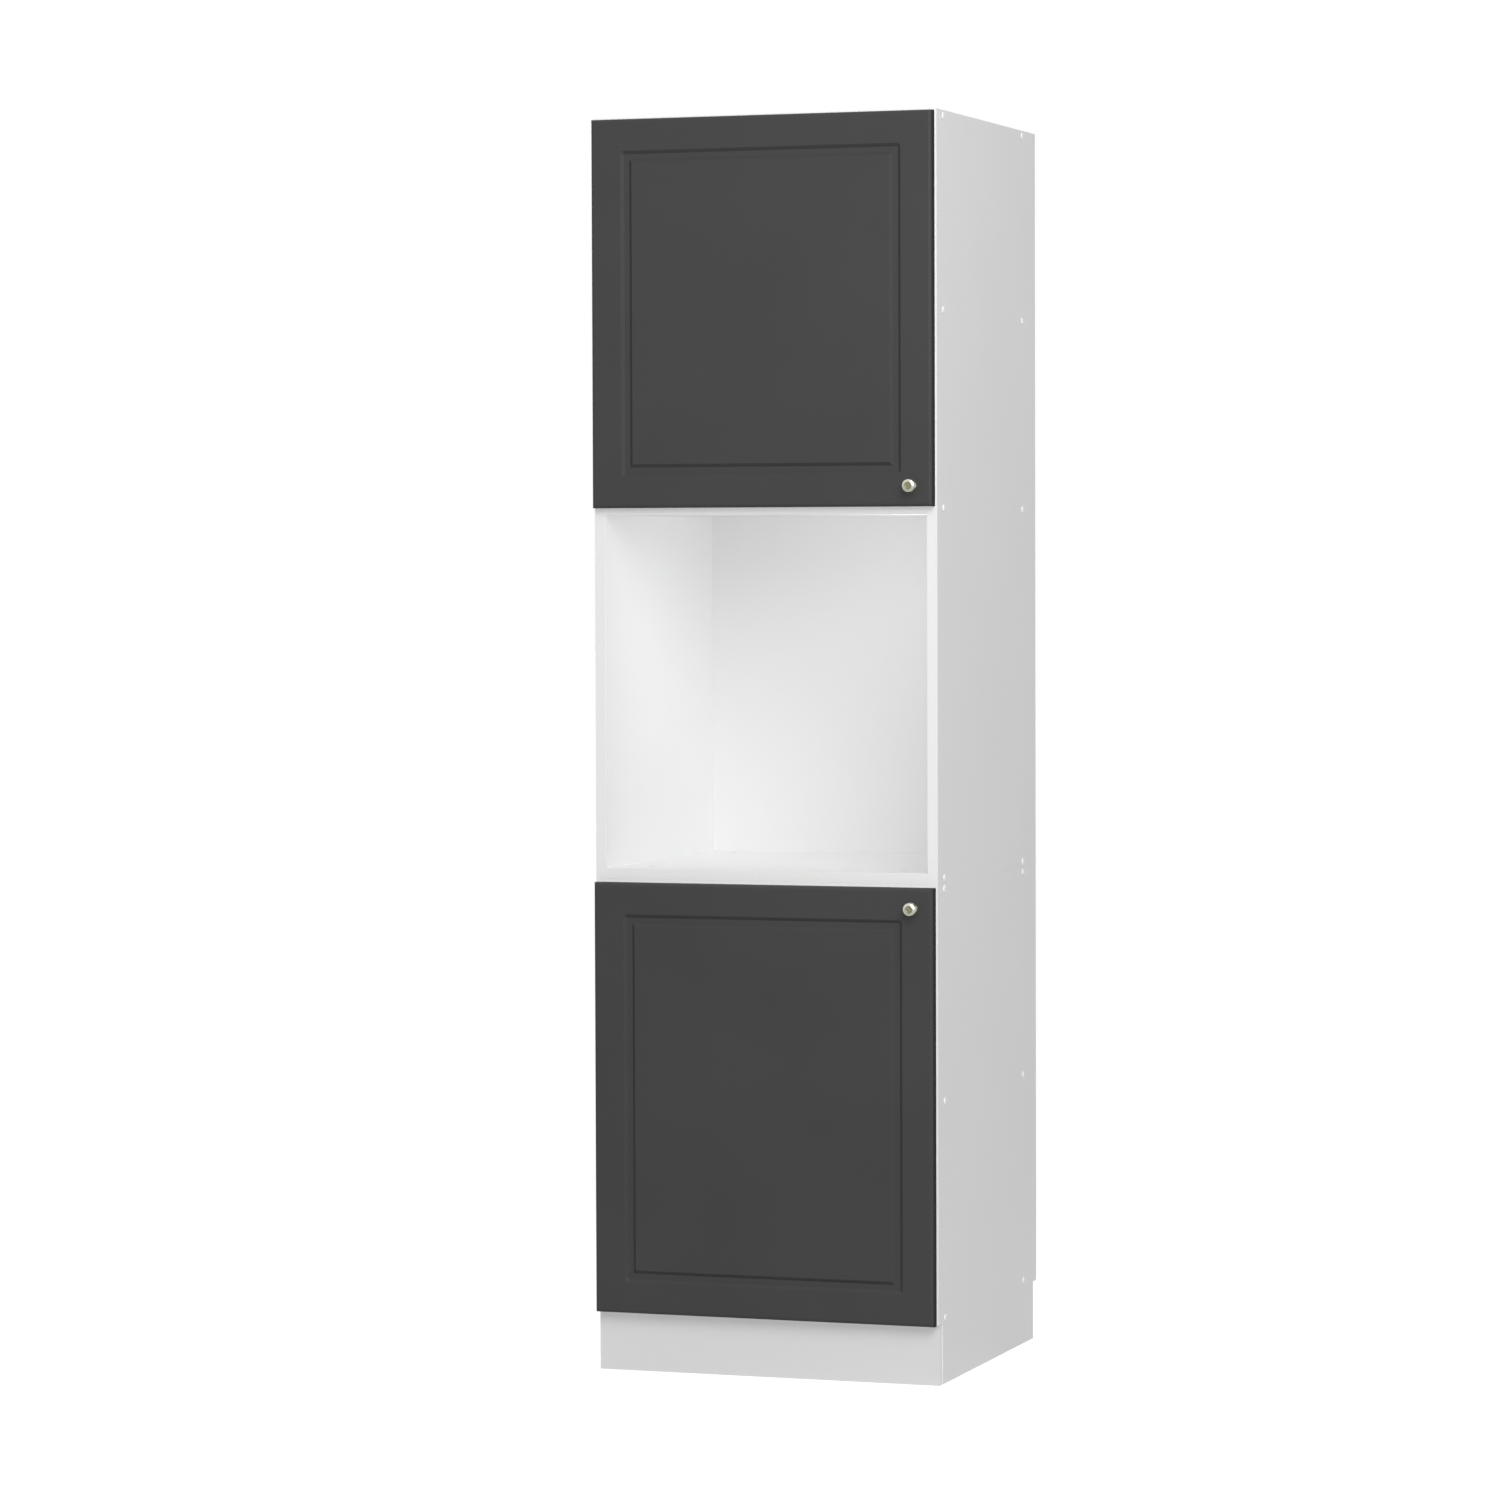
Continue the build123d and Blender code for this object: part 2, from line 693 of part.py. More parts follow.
def hinge_arm(z):
    """The cranked arm: eye, neck and leg inside the cup, then a channel that straddles the plate's rail."""
    eye_height = (z - arm_half_height, z + arm_half_height)
    leg_x = side_inner_x + arm_leg_from_side
    neck_low_y = pivot_y - eye_radius + 0.1
    neck_y = (neck_low_y, neck_low_y + arm_thickness)
    channel_start = front_y + arm_start
    channel_end = channel_start + arm_length
    arm = rod((pivot_x, pivot_y, z - arm_half_height), (0, 0, 1), eye_radius, 2 * arm_half_height)
    arm += block((pivot_x, leg_x + arm_thickness), neck_y, eye_height)
    arm += block((leg_x, leg_x + arm_thickness), (neck_low_y, channel_start + arm_thickness), eye_height)
    corner = arm.edges().filter_by(Axis.Z).sort_by_distance((leg_x + arm_thickness, neck_low_y, z))[0]
    arm = fillet(corner, arm_thickness * 0.8)
    wall_z = rail_half_height + arm_slide_clearance
    web_x = (rail_top_x, rail_top_x + arm_wall)
    channel_z = (z - wall_z - arm_wall, z + wall_z + arm_wall)
    wall_x = side_inner_x + plate_thickness + 1
    arm += block((leg_x, web_x[1]), (channel_start, channel_start + arm_thickness), channel_z)
    arm += block(web_x, (channel_start, channel_end), channel_z)
    for low_z in (channel_z[0], z + wall_z):
        arm += block((wall_x, web_x[1]), (channel_start, channel_end), (low_z, low_z + arm_wall))
    arm -= rod((pivot_x, pivot_y, z - arm_half_height), (0, 0, 1), pin_radius + pin_fit, 2 * arm_half_height)
    for place in arm_screw_places:
        start = (web_x[1], front_y + place, z)
        arm -= rod(start, (-1, 0, 0), arm_screw_radius + hole_clearance, arm_wall)
    return arm


def hinge_plate(z):
    """The mounting plate on the side panel: two screwed wings and a raised rail."""
    plate_x = (side_inner_x, side_inner_x + plate_thickness)
    wings = block(
        plate_x,
        (plate_y - plate_width / 2, plate_y + plate_width / 2),
        (z - plate_half_height, z + plate_half_height),
    )
    wings = fillet(wings.edges().filter_by(Axis.X), plate_width / 4)
    rail_y = (front_y + rail_start, front_y + rail_end)
    rail = block((side_inner_x, rail_top_x), rail_y, (z - rail_half_height, z + rail_half_height))
    plate = wings + rail
    for offset in (-plate_screw_offset, plate_screw_offset):
        top = (plate_x[1], plate_y, z + offset)
        plate -= rod(top, (-1, 0, 0), plate_screw_radius + hole_clearance, plate_thickness)
        plate -= cone(top, (-1, 0, 0), plate_screw_head_radius + hole_clearance,
                      plate_screw_radius + hole_clearance, plate_thickness / 2)
    for place in arm_screw_places:
        start = (rail_top_x, front_y + place, z)
        plate -= rod(start, (-1, 0, 0), arm_screw_radius + hole_clearance, arm_screw_depth + hole_clearance)
    return plate


def cup_screws(door):
    """The countersunk screws of both hinge cups of a door."""
    screws = []
    for z in hinge_heights(door):
        for x, y, height in cup_screw_places(z):
            top = (x, y + flange_thickness, height)
            head_radius = cup_screw_head_radius - hole_clearance
            screw = cone(top, (0, -1, 0), head_radius, cup_screw_radius, flange_thickness)
            screw += rod(top, (0, -1, 0), cup_screw_radius, cup_screw_length)
            screws.append(screw - cross_recess(top, (0, -1, 0), cup_screw_radius))
    return screws


def plate_screw(z):
    """A countersunk screw through a hinge plate into the left side."""
    top = (side_inner_x + plate_thickness, plate_y, z)
    screw = cone(top, (-1, 0, 0), plate_screw_head_radius, plate_screw_radius, plate_thickness / 2)
    screw += rod(top, (-1, 0, 0), plate_screw_radius, plate_screw_length)
    return screw - cross_recess(top, (-1, 0, 0), plate_screw_radius)


def arm_screw(place, z):
    """A screw through the arm into the plate's rail: one fixes the arm and one adjusts it."""
    seat = (rail_top_x + arm_wall, front_y + place, z)
    head = rod(seat, (1, 0, 0), arm_screw_head_radius, arm_screw_head_height)
    head = fillet(head.faces().sort_by(Axis.X)[-1].edges(), arm_screw_head_height / 3)
    screw = head + rod(seat, (-1, 0, 0), arm_screw_radius, arm_wall + arm_screw_depth)
    top = (seat[0] + arm_screw_head_height, seat[1], seat[2])
    return screw - cross_recess(top, (-1, 0, 0), arm_screw_radius)


def bracket_screws(side):
    """Start of each screw that holds a wall bracket to its side panel."""
    x = side * (half_width - board - bracket_thickness)
    y = (back_panel_y + back_thickness + rear_y) / 2
    z = unit_height - bracket_below_top - bracket_height / 2
    return [(x, y, z - bracket_screw_spread / 2), (x, y, z + bracket_screw_spread / 2)]


def bracket_drillings(side):
    """Pilot holes of the bracket screws in one tower side."""
    radius = bracket_screw_radius + hole_clearance
    depth = bracket_screw_length + hole_clearance
    return [rod(start, (side, 0, 0), radius, depth) for start in bracket_screws(side)]


def wall_bracket(side):
    """An angle behind the back panel: one leg screwed to the side, one leg flush with the wall."""
    z_range = (unit_height - bracket_below_top - bracket_height, unit_height - bracket_below_top)
    side_leg_y = (back_panel_y + back_thickness + bracket_back_clearance, rear_y)
    side_leg = block(from_side(side, board, board + bracket_thickness), side_leg_y, z_range)
    wall_leg = block(from_side(side, board, board + bracket_leg), (rear_y - bracket_thickness, rear_y), z_range)
    side_corners = side_leg.edges().filter_by(Axis.X).group_by(Axis.Y)[0]
    side_leg = fillet(side_corners, bracket_rounding)
    wall_corners = wall_leg.edges().filter_by(Axis.Y).group_by(Axis.X)[0 if side > 0 else -1]
    wall_leg = fillet(wall_corners, bracket_rounding)
    bracket = side_leg + wall_leg
    for start in bracket_screws(side):
        bracket -= rod(start, (side, 0, 0), bracket_screw_radius + hole_clearance, bracket_thickness)
    hole_start = (side * (half_width - board - bracket_hole_inset), rear_y, sum(z_range) / 2)
    return bracket - rod(hole_start, (0, -1, 0), bracket_hole_radius, bracket_thickness)


def front_strips():
    """The edge strips on the front of the sides and of every board between them."""
    strips = []
    for side in (-1, 1):
        x_range = from_side(side, 0, board)
        strips.append(front_strip(x_range, (plinth_height, base_height)))
        strips.append(front_strip(x_range, (base_height, unit_height)))
    for z in (*base_boards.values(), *tower_boards.values()):
        x_range = (-half_width + board, half_width - board)
        strips.append(front_strip(x_range, (z - board / 2, z + board / 2)))
    return strips


def write_carcass():
    """Write the boards of the base and the tower."""
    for side, word in ((-1, "left"), (1, "right")):
        save(f"base_side_{word}", [base_side(side)])
        save(f"tower_side_{word}", [tower_side(side)])
        save(f"plinth_block_{word}", [plinth_block(side)])
        save(f"wall_bracket_{word}", [wall_bracket(side)])
    for node, z in (base_boards | tower_boards).items():
        panel = cross_board(z)
        if node in ("base_top_panel", "niche_floor_panel"):
            panel -= connector_drillings()
        save(node, [panel])
    save("front_edge_strips", front_strips())
    save("plinth_board", [plinth_board()])
    save("base_back_panel", [back_panel(plinth_height, base_height, base_boards.values())])
    save("tower_back_panel", [back_panel(base_height, unit_height, tower_boards.values())])


def write_fasteners():
    """Write the screws, caps, connectors and nails of the carcass."""
    heights = [*base_boards.values(), *tower_boards.values()]
    save("panel_screws", [panel_screw(*place) for place in screw_places(heights)])
    save("screw_caps", [screw_cap(*place) for place in screw_places(heights)])
    save("connector_sleeves", [connector_sleeve(*place) for place in connector_places()])
    save("connector_bolts", [connector_bolt(*place) for place in connector_places()])
    save("back_panel_nails", [nail(place) for place in nail_places(heights)])
    save("plinth_screws", [small_screw(start, way, block_screw_length()) for start, way in block_screws()])
    screws = [small_screw(start, (side, 0, 0), bracket_screw_length)
              for side in (-1, 1) for start in bracket_screws(side)]
    save("wall_bracket_screws", screws)


def write_doors():
    """Write each door with its knob, bumpers and hinges."""
    for door in door_heights:
        save(door, [door_panel(door)])
        save(f"{door}_knob", [knob(door)])
        save(f"{door}_knob_screw", [knob_screw(door)])
        save(f"{door}_bumpers", bumpers(door))
        save(f"{door}_cup_screws", cup_screws(door))
        for word, z in zip(("bottom", "top"), hinge_heights(door)):
            save(f"{door}_{word}_hinge_cup", [hinge_cup(z)])
            save(f"{door}_{word}_hinge_pin", [hinge_pin(z)])
            save(f"{door}_{word}_hinge_arm", [hinge_arm(z)])
            save(f"{door}_{word}_hinge_plate", [hinge_plate(z)])
    heights = [z for door in door_heights for z in hinge_heights(door)]
    save("hinge_arm_screws", [arm_screw(place, z) for z in heights for place in arm_screw_places])
    places = [z for door in door_heights for z in plate_screw_places(door)]
    save("hinge_plate_screws", [plate_screw(z) for z in places])


os.makedirs("parts", exist_ok=True)
write_carcass()
write_fasteners()
write_doors()
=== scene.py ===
# %% [markdown]
# # A tall kitchen unit for a built-in oven
#
# The unit is a white board carcass in two boxes: a base cupboard, and a tower that stands on it.
# The oven goes into the open niche between the two dark doors. The shapes come from the solid
# model, which stays as it is, and this lesson gives it its finishes, its light and its camera.
# Every length is in metres: X to the right, Y from the front to the wall, Z up from the floor.

# %% Load the solid model
import json
import math

import bpy
from mathutils import Matrix, Vector

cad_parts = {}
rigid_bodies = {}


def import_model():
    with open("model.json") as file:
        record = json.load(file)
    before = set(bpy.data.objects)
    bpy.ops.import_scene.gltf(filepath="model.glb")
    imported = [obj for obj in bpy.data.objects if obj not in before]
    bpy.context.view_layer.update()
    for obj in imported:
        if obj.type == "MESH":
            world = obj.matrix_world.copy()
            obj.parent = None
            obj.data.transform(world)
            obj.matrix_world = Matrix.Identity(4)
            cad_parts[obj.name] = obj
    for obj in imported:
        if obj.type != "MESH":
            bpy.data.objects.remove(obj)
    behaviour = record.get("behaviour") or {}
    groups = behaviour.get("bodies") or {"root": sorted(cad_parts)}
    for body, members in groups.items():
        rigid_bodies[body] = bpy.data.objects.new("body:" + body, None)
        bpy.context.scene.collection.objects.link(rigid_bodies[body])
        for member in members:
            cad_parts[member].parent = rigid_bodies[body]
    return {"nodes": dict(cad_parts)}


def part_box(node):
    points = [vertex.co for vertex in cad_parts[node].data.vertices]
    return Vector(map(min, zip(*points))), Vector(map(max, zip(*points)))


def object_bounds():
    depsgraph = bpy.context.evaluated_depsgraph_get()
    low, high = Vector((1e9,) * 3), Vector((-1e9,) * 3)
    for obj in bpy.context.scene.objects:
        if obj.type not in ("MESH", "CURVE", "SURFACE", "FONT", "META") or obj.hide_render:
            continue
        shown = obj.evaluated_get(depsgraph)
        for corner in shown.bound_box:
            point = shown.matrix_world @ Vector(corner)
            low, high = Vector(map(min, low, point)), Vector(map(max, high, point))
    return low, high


for leftover in list(bpy.data.objects):
    bpy.data.objects.remove(leftover)
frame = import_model()
nodes = frame["nodes"]
solid_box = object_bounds()
size = solid_box[1] - solid_box[0]
print(f"{len(nodes)} pieces, {size.x:.3f} wide, {size.y:.3f} deep and {size.z:.3f} high")

# %% [markdown]
# ## The camera
#
# The picture is taken from the right of the unit, from a good eight metres away and from just
# above the niche floor, so the upright edges stay nearly parallel. A camera can be aimed with a
# constraint, but then its slight lean can't be set. Three plain turns say it all: a turn to the
# left, a small tip downwards and a hair of lean.

# %% Camera
camera_data = bpy.data.cameras.new("camera")
camera_data.sensor_width = 36.0
camera_data.lens = 125.945
camera = bpy.data.objects.new("camera", camera_data)
bpy.context.scene.collection.objects.link(camera)
bpy.context.scene.camera = camera

camera_place = (2.83755, -8.49688, 1.381)
degrees_left, degrees_down, degrees_of_lean = 19.186, 2.192, -0.19
stand = Matrix.Translation(camera_place)
turn = Matrix.Rotation(math.radians(degrees_left), 4, "Z")
tip = Matrix.Rotation(math.radians(90 - degrees_down), 4, "X")
lean = Matrix.Rotation(math.radians(degrees_of_lean), 4, "Z")
camera.matrix_world = stand @ turn @ tip @ lean
print("the camera looks along", [round(v, 4) for v in -camera.matrix_world.col[2].xyz])

# %% [markdown]
# ## Building a finish from nodes
#
# A finish is a shader fed by a few small patterns. Each pattern node is added, set and linked in
# the same way, so one helper does that: a plain value sets a socket, and a socket makes a link.

# %% Helpers for nodes
def feed(tree, node, inputs):
    """Give a node its inputs: a plain value is set, and a socket is linked."""
    for name, value in inputs.items():
        if isinstance(value, bpy.types.NodeSocket):
            tree.links.new(value, node.inputs[name])
        else:
            node.inputs[name].default_value = value


def add(tree, kind, inputs=None, **options):
    """Add one node with its options and its inputs."""
    made = tree.nodes.new("ShaderNode" + kind)
    for name, value in options.items():
        setattr(made, name, value)
    feed(tree, made, inputs or {})
    return made


def calculate(tree, operation, *numbers):
    """One sum on up to three numbers or sockets."""
    return add(tree, "Math", dict(enumerate(numbers)), operation=operation).outputs[0]


def remap(tree, value, low_in, high_in, low_out, high_out):
    """Stretch a pattern's values into another range."""
    ranges = {"Value": value, "From Min": low_in, "From Max": high_in}
    ranges.update({"To Min": low_out, "To Max": high_out})
    return add(tree, "MapRange", ranges).outputs["Result"]


print("helpers ready:", ", ".join(helper.__name__ for helper in (feed, add, calculate, remap)))

# %% [markdown]
# ## The studio
#
# The unit stands in soft even light on a white ground that runs out without a horizon. The
# light comes from the surroundings and from one large lamp in front, above and to the right.
# That lamp makes the slopes of the door's milled line that face left or down darker than those
# that face right or up. A lamp behind on the left does the same for the sides that the camera
# doesn't see.
#
# Lighting the ground until it turns white would bleach the white boards too. So the
# surroundings are white only where they are looked at, mirrored or seen through, and they light
# the unit at a lower level.

# %% Light from the surroundings
def looked_at(tree):
    """One where a surface is seen by the camera, in a mirror or through glass, else nought."""
    ray = add(tree, "LightPath").outputs
    seen = calculate(tree, "MAXIMUM", ray["Is Camera Ray"], ray["Is Glossy Ray"])
    return calculate(tree, "MAXIMUM", seen, ray["Is Transmission Ray"])


ambient_level = 0.3
white_level = 1.0
world = bpy.data.worlds.new("studio")
bpy.context.scene.world = world
world.use_nodes = True
tree = world.node_tree
level = remap(tree, looked_at(tree), 0.0, 1.0, ambient_level, white_level)
feed(tree, tree.nodes["Background"], {"Color": (1.0, 1.0, 1.0, 1.0), "Strength": level})
bpy.context.scene.view_settings.view_transform = "Standard"
print("the surroundings light the unit at", ambient_level)

# %% [markdown]
# ## The lamps
#
# One lamp alone would leave the niche and the board below each door in deep shade, and in the
# picture they are almost as bright as the rest. More light from all round would lift them, but
# it would flatten the milled line too. So the large lamp is two lamps in one place: one casts
# shadows, and the other, nearly as strong, doesn't, which makes every shadow half as deep.
#
# The left wall of the niche is the brightest face inside. A small weak lamp by the right wall,
# high up, gives it that light. Like the other lamps, it isn't seen itself.

# %% Lamps
def soft_lamp(name, place, aim, width, power):
    """A square soft lamp that isn't seen itself, only its light."""
    data = bpy.data.lights.new(name, "AREA")
    data.size = width
    data.energy = power
    lamp = bpy.data.objects.new(name, data)
    bpy.context.scene.collection.objects.link(lamp)
    lamp.location = place
    lamp.rotation_euler = (Vector(aim) - Vector(place)).to_track_quat("-Z", "Y").to_euler()
    lamp.visible_camera = False
    return lamp


lamp_place, lamp_aim, lamp_width = (2.6, -4.5, 3.6), (0.0, -0.2, 1.1), 3.4
key = soft_lamp("key_lamp", lamp_place, lamp_aim, lamp_width, 155.0)
fill = soft_lamp("fill_lamp", lamp_place, lamp_aim, lamp_width, 145.0)
fill.data.use_shadow = False
soft_lamp("back_lamp", (-3.6, 3.4, 2.6), (0.0, 0.0, 1.1), 3.0, 150.0)
print("the large lamp stands", round(key.location.length, 2), "from the unit's foot")

# %% Small lamp in the niche
niche_low, niche_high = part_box("niche_floor_panel")[1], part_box("niche_top_panel")[0]
off_the_wall, off_the_middle, off_the_top = 0.02, -0.06, 0.12
by_the_wall = Vector((niche_low.x - off_the_wall, off_the_middle, niche_high.z - off_the_top))
at_left_wall = by_the_wall - Vector((1.0, 0.0, 0.0))
niche_lamp = soft_lamp("niche_lamp", by_the_wall, at_left_wall, 0.12, 0.65)
niche_lamp.visible_glossy = False
print("the niche lamp hangs at", [round(v, 3) for v in niche_lamp.location])

# %% [markdown]
# ## The ground
#
# The ground is a plain pale grey sheet. It takes the lamps' shadows as any floor does. Some glow
# of its own lifts it to white where it is looked at, so only the soft shadow at the unit's foot
# is left. Further out it fades into the white of the surroundings, and no edge shows.

# %% Ground
def flat_sheet(name, reach):
    """A square sheet on the floor plane, this far to each side."""
    mesh = bpy.data.meshes.new(name)
    corners = [(-reach, -reach, 0), (reach, -reach, 0), (reach, reach, 0), (-reach, reach, 0)]
    mesh.from_pydata(corners, [], [(0, 1, 2, 3)])
    sheet = bpy.data.objects.new(name, mesh)
    bpy.context.scene.collection.objects.link(sheet)
    return sheet


def ground_paint(glow_level, fade_from, fade_to):
    """Pale grey with a glow of its own near the unit, and the surroundings' white further out."""
    material = bpy.data.materials.new("ground_paint")
    material.use_nodes = True
    tree = material.node_tree
    tree.nodes.clear()
    seen = looked_at(tree)
    lit = add(tree, "BsdfDiffuse", {"Color": (0.5, 0.5, 0.5, 1.0)})
    glow = add(tree, "Emission", {"Strength": calculate(tree, "MULTIPLY", seen, glow_level)})
    near = add(tree, "AddShader", {0: lit.outputs[0], 1: glow.outputs[0]})
    far_level = remap(tree, seen, 0.0, 1.0, ambient_level, white_level)
    far = add(tree, "Emission", {"Strength": far_level})
    place = add(tree, "TexCoord").outputs["Object"]
    distance = add(tree, "VectorMath", {0: place}, operation="LENGTH").outputs["Value"]
    fade = add(tree, "MapRange", {"Value": distance, "From Min": fade_from, "From Max": fade_to},
               interpolation_type="SMOOTHSTEP").outputs["Result"]
    mixed = add(tree, "MixShader", {0: fade, 1: near.outputs[0], 2: far.outputs[0]})
    add(tree, "OutputMaterial", {"Surface": mixed.outputs[0]})
    print("the ground fades out between", fade_from, "and", fade_to, "metres")
    return material


ground = flat_sheet("ground", 60.0)
ground.data.materials.append(ground_paint(glow_level=0.69, fade_from=0.8, fade_to=2.3))

# %% [markdown]
# ## White coated board
#
# The carcass is chipboard with a white coating. The coating is printed paper pressed under
# resin: white, half matt, with a faint orange peel and hardly any change of tone. Only the two
# wide faces have it. A narrow face that looks forward is banded, as where a base side is cut
# back for the plinth. The other narrow faces, and the walls of every hole, are raw chipboard.
#
# Two materials could be given to two sets of faces, but the faces belong to the solid model. A
# single material can tell them apart by the way a face looks: on a side panel the coated faces
# look along X, and on a shelf they look along Z.
#
# The top board of the tower is hardly ever wiped, and a film of dust dulls it. With the gloss
# of the shelves it would mirror the large lamp to anyone who looks from behind.

# %% Shared patterns
def opaque(colour):
    """A plain colour gets its fourth number, and a socket stays as it is."""
    return (*colour, 1.0) if isinstance(colour, tuple) else colour


def start(name, colour, roughness, metallic=0.0):
    """A new material: its node tree, its shader, and where each point is and looks.

    The colour and roughness given here also stand in where a viewer can't show the patterns.
    """
    material = bpy.data.materials.new(name)
    material.use_nodes = True
    tree = material.node_tree
    shader = tree.nodes["Principled BSDF"]
    feed(tree, shader, {"Base Color": opaque(colour), "Roughness": roughness, "Metallic": metallic})
    return material, tree, shader, add(tree, "TexCoord").outputs


def noise(tree, place, grain, detail=2.0):
    """A cloudy pattern whose lumps are about one grain wide, in metres."""
    settings = {"Vector": place, "Scale": 1 / grain, "Detail": detail}
    return add(tree, "TexNoise", settings).outputs["Fac"]


def vary(tree, pattern, low, high, spread=0.2):
    """Let a noise, which keeps within this spread of a half, run from low to high."""
    return remap(tree, pattern, 0.5 - spread, 0.5 + spread, low, high)


def mix_colour(tree, share, first, second):
    """The first colour where the share is nought and the second where it is one."""
    inputs = {0: share, 6: opaque(first), 7: opaque(second)}
    return add(tree, "Mix", inputs, data_type="RGBA").outputs[2]


def bump(tree, shader, height, depth):
    """Let a pattern raise the surface by at most this depth, in metres."""
    relief = add(tree, "Bump", {"Height": height, "Distance": depth, "Strength": 1.0})
    feed(tree, shader, {"Normal": relief.outputs[0]})


def facing(tree, where, way, square_on=0.7):
    """One on the faces that look one way, such as -Y, or both ways, such as X, else nought."""
    part = add(tree, "SeparateXYZ", {0: where["Normal"]}).outputs[way[-1]]
    if way[0] == "-":
        return calculate(tree, "LESS_THAN", part, -square_on)
    if way[0] != "+":
        part = calculate(tree, "ABSOLUTE", part)
    return calculate(tree, "GREATER_THAN", part, square_on)


print("patterns ready:", ", ".join(helper.__name__ for helper in (noise, vary, bump, facing)))

# %% Chipboard and its coating
def chips(tree, place, thin_axis, flatness=2.6, chips_per_metre=420.0):
    """Colour and height of pressed wood chips, which lie flat in the plane of the board."""
    dark, middle, pale = (0.26, 0.165, 0.085), (0.55, 0.40, 0.24), (0.72, 0.56, 0.37)
    squash = [flatness if axis == thin_axis else 1.0 for axis in "XYZ"]
    flat = add(tree, "Mapping", {"Vector": place, "Scale": squash}).outputs[0]
    cells = add(tree, "TexVoronoi", {"Vector": flat, "Scale": chips_per_metre, "Randomness": 1.0})
    pick = add(tree, "SeparateColor", {0: cells.outputs["Color"]}).outputs[0]
    ramp = add(tree, "ValToRGB", {"Fac": pick})
    stops = ramp.color_ramp.elements
    stops[0].color = opaque(dark)
    stops[1].color = opaque(pale)
    stops.new(0.3).color = opaque(middle)
    return ramp.outputs["Color"], cells.outputs["Distance"]


def board_relief(tree, shader, place, chip_height, raw):
    """A faint orange peel all over, and open pores between the chips where the board is raw."""
    peel_grain, peel_share, pore_depth = 0.0012, 0.06, 0.0004
    peel = calculate(tree, "MULTIPLY", noise(tree, place, peel_grain), peel_share)
    pores = calculate(tree, "MULTIPLY", chip_height, raw)
    bump(tree, shader, calculate(tree, "ADD", peel, pores), pore_depth)


def coated_board(name, axis, dust=0.0):
    """White coating on the wide faces and a white band in front; the other faces are raw."""
    cool_white, warm_white, raw_dullness = (0.795, 0.797, 0.800), (0.812, 0.812, 0.808), 0.4
    material, tree, shader, where = start(name, (0.8, 0.8, 0.8), 0.42)
    place = where["Object"]
    coated = calculate(tree, "MAXIMUM", facing(tree, where, axis), facing(tree, where, "-Y"))
    raw = calculate(tree, "SUBTRACT", 1.0, coated)
    tone = vary(tree, noise(tree, place, 0.35), 0.0, 1.0, spread=0.15)
    white = mix_colour(tree, tone, cool_white, warm_white)
    chip_colour, chip_height = chips(tree, place, axis)
    colour = mix_colour(tree, coated, chip_colour, white)
    sheen = vary(tree, noise(tree, place, 0.004), 0.38 + dust, 0.46 + dust)
    rough = calculate(tree, "MULTIPLY_ADD", raw, raw_dullness, sheen)
    inputs = {"Base Color": colour, "Roughness": rough, "Specular IOR Level": 0.5 - dust}
    feed(tree, shader, inputs)
    board_relief(tree, shader, place, chip_height, raw)
    return material


def dress(names, material):
    """Give one finish to the named pieces of the solid model."""
    for name in names:
        for slot in nodes[name].material_slots:
            slot.material = material
    print(material.name, "on", ", ".join(names))


side_board = coated_board("side_board", "X")
shelf_board = coated_board("shelf_board", "Z")
top_board = coated_board("top_board", "Z", dust=0.4)
dress(["base_side_left", "base_side_right", "tower_side_left", "tower_side_right"], side_board)
dress(["base_bottom_panel", "base_shelf", "base_top_panel", "niche_floor_panel",
       "niche_top_panel", "upper_shelf"], shelf_board)
dress(["tower_top_panel"], top_board)

# %% [markdown]
# ## Edge strips and plinth
#
# A thin white plastic strip is glued to every front edge. It is a little smoother and brighter
# than the coating. The plinth board is the same coated board, but its short ends are banded
# too, since they are seen beside the unit, and only its long top and bottom edges are raw. Its
# front is painted a little greyer than the coating, as shade under the overhanging doors.

# %% Edge strips and plinth
def edge_band():
    """Smooth white plastic with a slight ripple from the gluing machine."""
    material, tree, shader, where = start("edge_band", (0.84, 0.84, 0.835), 0.3)
    place = where["Object"]
    feed(tree, shader, {"Roughness": vary(tree, noise(tree, place, 0.006), 0.27, 0.34)})
    ripple = add(tree, "Mapping", {"Vector": place, "Scale": (20.0, 20.0, 120.0)}).outputs[0]
    bump(tree, shader, noise(tree, ripple, 1.0), 0.00004)
    return material


def plinth_finish():
    """Coated board whose ends are banded, so only its long narrow edges are raw."""
    # The front's grey is painted shade from the doors above; the ends are white banding.
    painted_shade_front_white, end_white = (0.745, 0.745, 0.745), (0.86, 0.86, 0.86)
    material, tree, shader, where = start("plinth_finish", (0.8, 0.8, 0.8), 0.4)
    raw = facing(tree, where, "Z")
    white = mix_colour(tree, facing(tree, where, "X"), painted_shade_front_white, end_white)
    chip_colour, chip_height = chips(tree, where["Object"], "Y")
    feed(tree, shader, {"Base Color": mix_colour(tree, raw, white, chip_colour)})
    board_relief(tree, shader, where["Object"], chip_height, raw)
    return material


dress(["front_edge_strips"], edge_band())
dress(["plinth_board"], plinth_finish())
